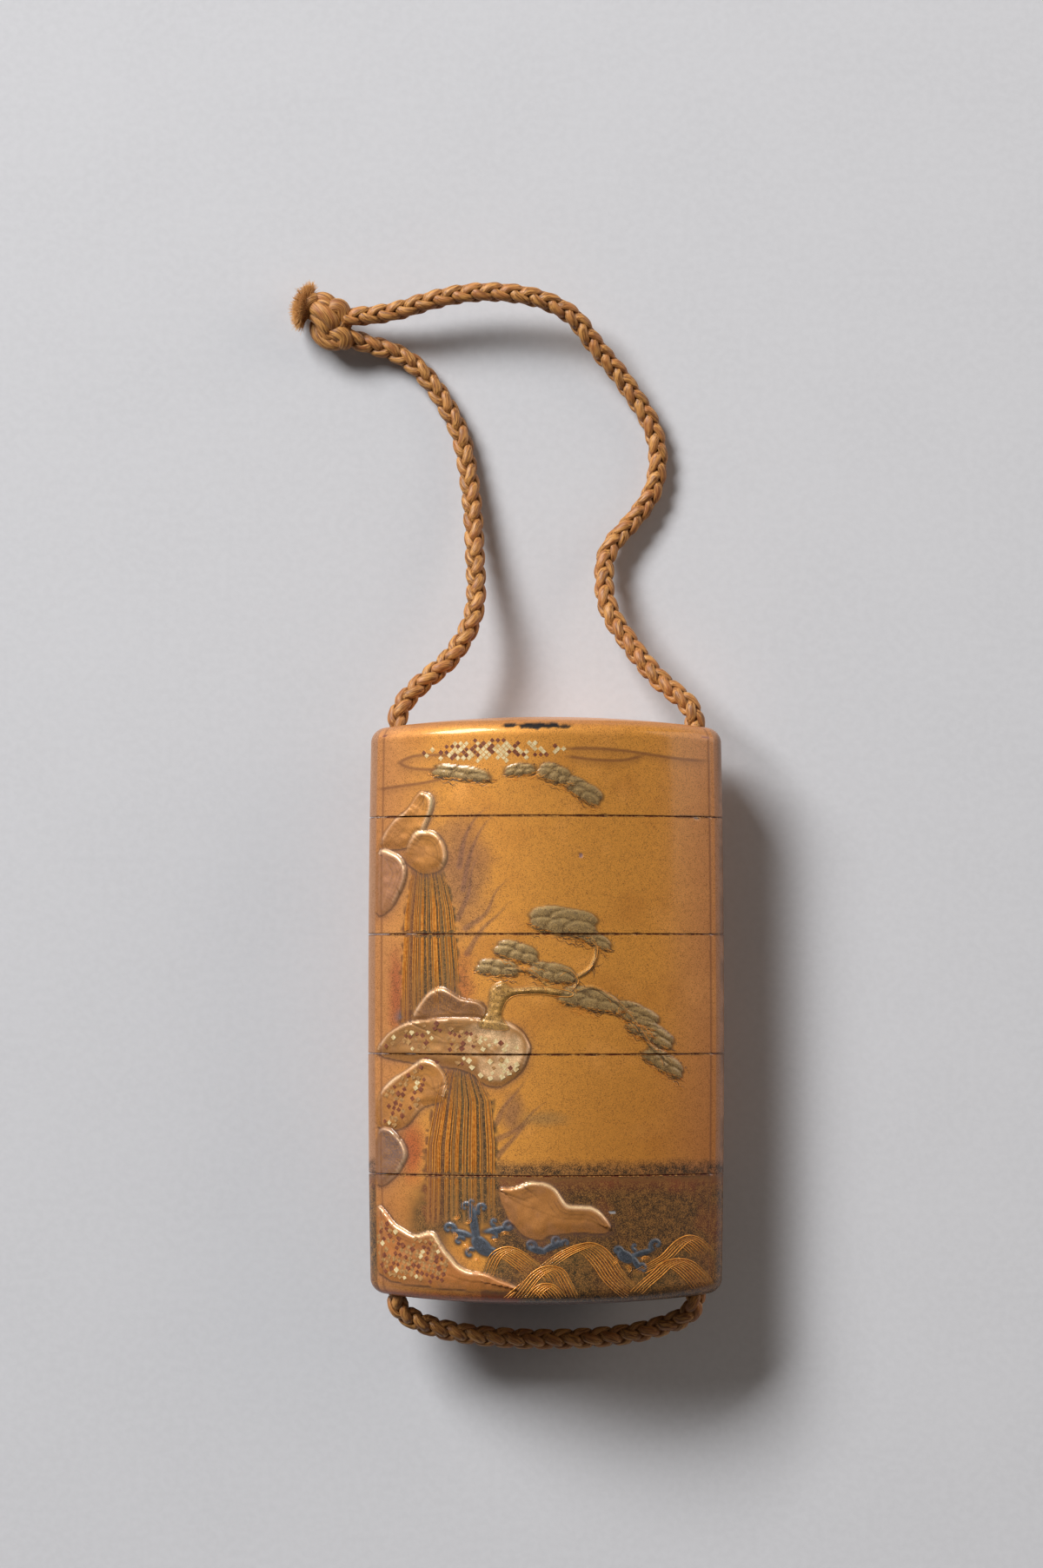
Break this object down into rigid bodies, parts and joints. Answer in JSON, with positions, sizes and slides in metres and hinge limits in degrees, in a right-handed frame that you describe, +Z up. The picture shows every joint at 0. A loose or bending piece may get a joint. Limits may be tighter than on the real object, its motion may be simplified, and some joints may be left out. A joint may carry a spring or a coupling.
{
  "type": "inro case",
  "caption": "Tiered lacquer inro: a lens-shaped case of stacked boxes with a raised gold landscape, on a silk cord that ends in a knot.",
  "frame": {"origin": "centre of the underside of the case as it lies on its back, on the table", "axes": "+Z up, out of the decorated front; +Y along the case from its base to its lid, where the cord's strands leave; +X to the right seen from the front"},
  "size_m": [0.066, 0.1615, 0.024],
  "materials": {
    "gold_lacquer": "thin wood under polished gold-powder lacquer, satin gloss, with raised gold, silver and cut-gold decoration",
    "silk_cord": "round braided silk, ochre, soft sheen"
  },
  "bodies": {
    "root": {"lid": "gold_lacquer", "tier_1": "gold_lacquer", "tier_2": "gold_lacquer", "tier_3": "gold_lacquer", "base_tier": "gold_lacquer", "cord": "silk_cord", "knot": "silk_cord"}
  },
  "joints": []
}
